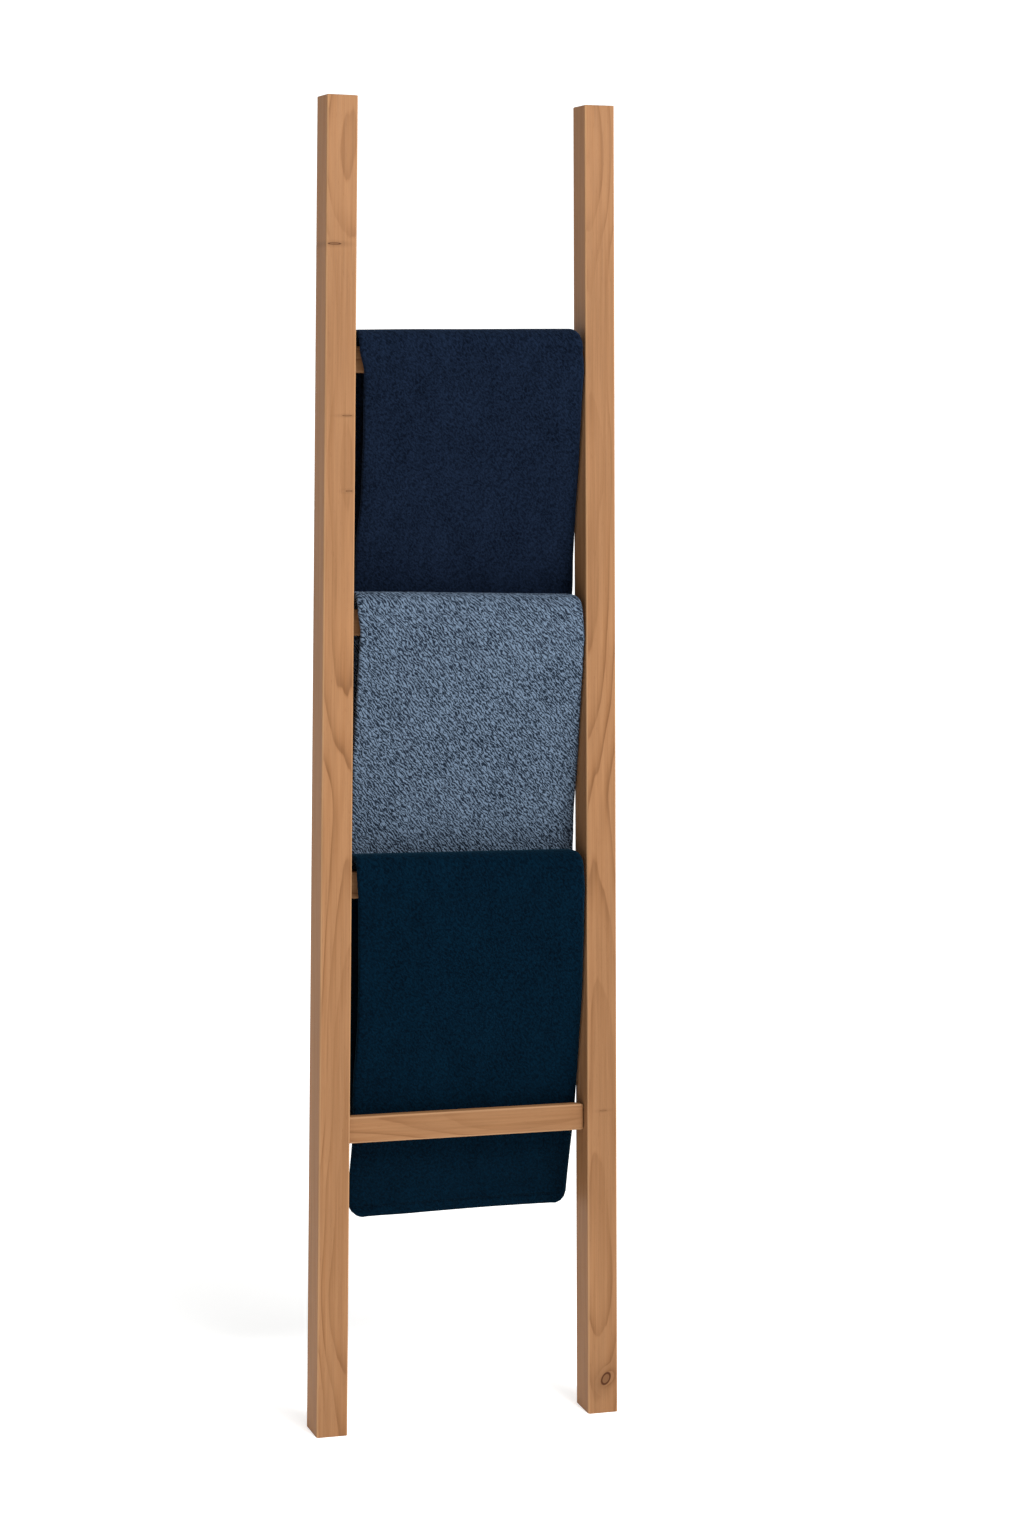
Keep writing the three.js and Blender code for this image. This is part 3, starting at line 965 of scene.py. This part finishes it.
def light_room(settings):
    """Light from all round that is stronger from the front right, a broad key from there too, and a soft
    lamp high in front. The background itself looks plain white."""
    world = bpy.data.worlds.new("Studio")
    world.use_nodes = True
    nodes, links = world.node_tree.nodes, world.node_tree.links
    shade = nodes["Background"]
    shade.inputs["Color"].default_value = (1, 1, 1, 1)
    ways = nodes.new("ShaderNodeTexCoord")
    facing = nodes.new("ShaderNodeVectorMath")
    facing.operation = "DOT_PRODUCT"
    facing.inputs[1].default_value = BRIGHT_SIDE
    strength = nodes.new("ShaderNodeMapRange")
    strength.inputs["From Min"].default_value = -1
    strength.inputs["To Min"].default_value = 0.38 * settings.sky
    strength.inputs["To Max"].default_value = 1.62 * settings.sky
    links.new(ways.outputs["Generated"], facing.inputs[0])
    links.new(facing.outputs["Value"], strength.inputs["Value"])
    links.new(strength.outputs["Result"], shade.inputs["Strength"])
    white = nodes.new("ShaderNodeBackground")
    white.inputs["Color"].default_value = (1, 1, 1, 1)
    white.inputs["Strength"].default_value = 1.0
    seen = nodes.new("ShaderNodeLightPath")
    mixed = nodes.new("ShaderNodeMixShader")
    links.new(seen.outputs["Is Camera Ray"], mixed.inputs[0])
    links.new(shade.outputs[0], mixed.inputs[1])
    links.new(white.outputs[0], mixed.inputs[2])
    links.new(mixed.outputs[0], nodes["World Output"].inputs["Surface"])
    bpy.context.scene.world = world
    add_light("Key", "SUN", (1.25, -2.25, 4.9), (0, 0, 0.6), energy=settings.sun, angle=math.radians(35))
    add_light(
        "High_lamp", "AREA", (0.9, -2.0, 2.9), (0, 0, 1.3), energy=settings.lamp, shape="DISK", size=1.2
    )


def place_camera(settings):
    """A long lens in front of the ladder and to its left, a little above its top, looking down."""
    camera = bpy.data.cameras.new("Camera")
    camera.lens = settings.lens
    camera.sensor_width = 36
    camera.shift_y = CAMERA_SHIFT
    camera.clip_end = 2 * FLOOR_RADIUS
    ahead = Vector((
        math.sin(CAMERA_YAW) * math.cos(CAMERA_PITCH),
        math.cos(CAMERA_YAW) * math.cos(CAMERA_PITCH),
        -math.sin(CAMERA_PITCH),
    ))
    right = Vector((math.cos(CAMERA_YAW), -math.sin(CAMERA_YAW), 0))
    up = right.cross(ahead)
    turned_right = right * math.cos(CAMERA_ROLL) - up * math.sin(CAMERA_ROLL)
    turned_up = right * math.sin(CAMERA_ROLL) + up * math.cos(CAMERA_ROLL)
    matrix = Matrix((turned_right, turned_up, -ahead)).transposed().to_4x4()
    matrix.translation = CAMERA_PLACE
    holder = bpy.data.objects.new("Camera", camera)
    holder.matrix_world = matrix
    bpy.context.scene.collection.objects.link(holder)
    bpy.context.scene.camera = holder
    bpy.context.scene.view_settings.view_transform = "Standard"


# ---------------------------------------------------------------------------------------------
# Panel and registration
# ---------------------------------------------------------------------------------------------

PIECES = (
    LADDER_OT_stage,
    LADDER_OT_rails,
    LADDER_OT_rungs,
    LADDER_OT_small_parts,
    LADDER_OT_top_throw,
    LADDER_OT_middle_throw,
    LADDER_OT_bottom_throw,
)

SETTINGS = {
    "ladder_wood": WoodSettings,
    "ladder_small_parts": SmallPartSettings,
    "ladder_top_throw": TopThrowSettings,
    "ladder_middle_throw": MiddleThrowSettings,
    "ladder_bottom_throw": BottomThrowSettings,
    "ladder_stage": StageSettings,
}


class LADDER_PT_pieces(bpy.types.Panel):
    """Lists the ladder's operators"""

    bl_idname = "LADDER_PT_pieces"
    bl_label = "Blanket ladder"
    bl_space_type = "VIEW_3D"
    bl_region_type = "UI"
    bl_category = "Ladder"

    def draw(self, context):
        column = self.layout.column()
        for piece in PIECES:
            column.operator(piece.bl_idname)


def register():
    for kind in (*SETTINGS.values(), *PIECES, LADDER_PT_pieces):
        bpy.utils.register_class(kind)
    for name, kind in SETTINGS.items():
        setattr(bpy.types.Scene, name, PointerProperty(type=kind))


def unregister():
    for name in SETTINGS:
        delattr(bpy.types.Scene, name)
    for kind in (LADDER_PT_pieces, *reversed(PIECES), *reversed(SETTINGS.values())):
        bpy.utils.unregister_class(kind)


def main():
    register()
    bpy.ops.ladder.stage()
    bpy.ops.ladder.rails()
    bpy.ops.ladder.rungs()
    bpy.ops.ladder.small_parts()
    bpy.ops.ladder.top_throw()
    bpy.ops.ladder.middle_throw()
    bpy.ops.ladder.bottom_throw()


if __name__ == "__main__":
    main()
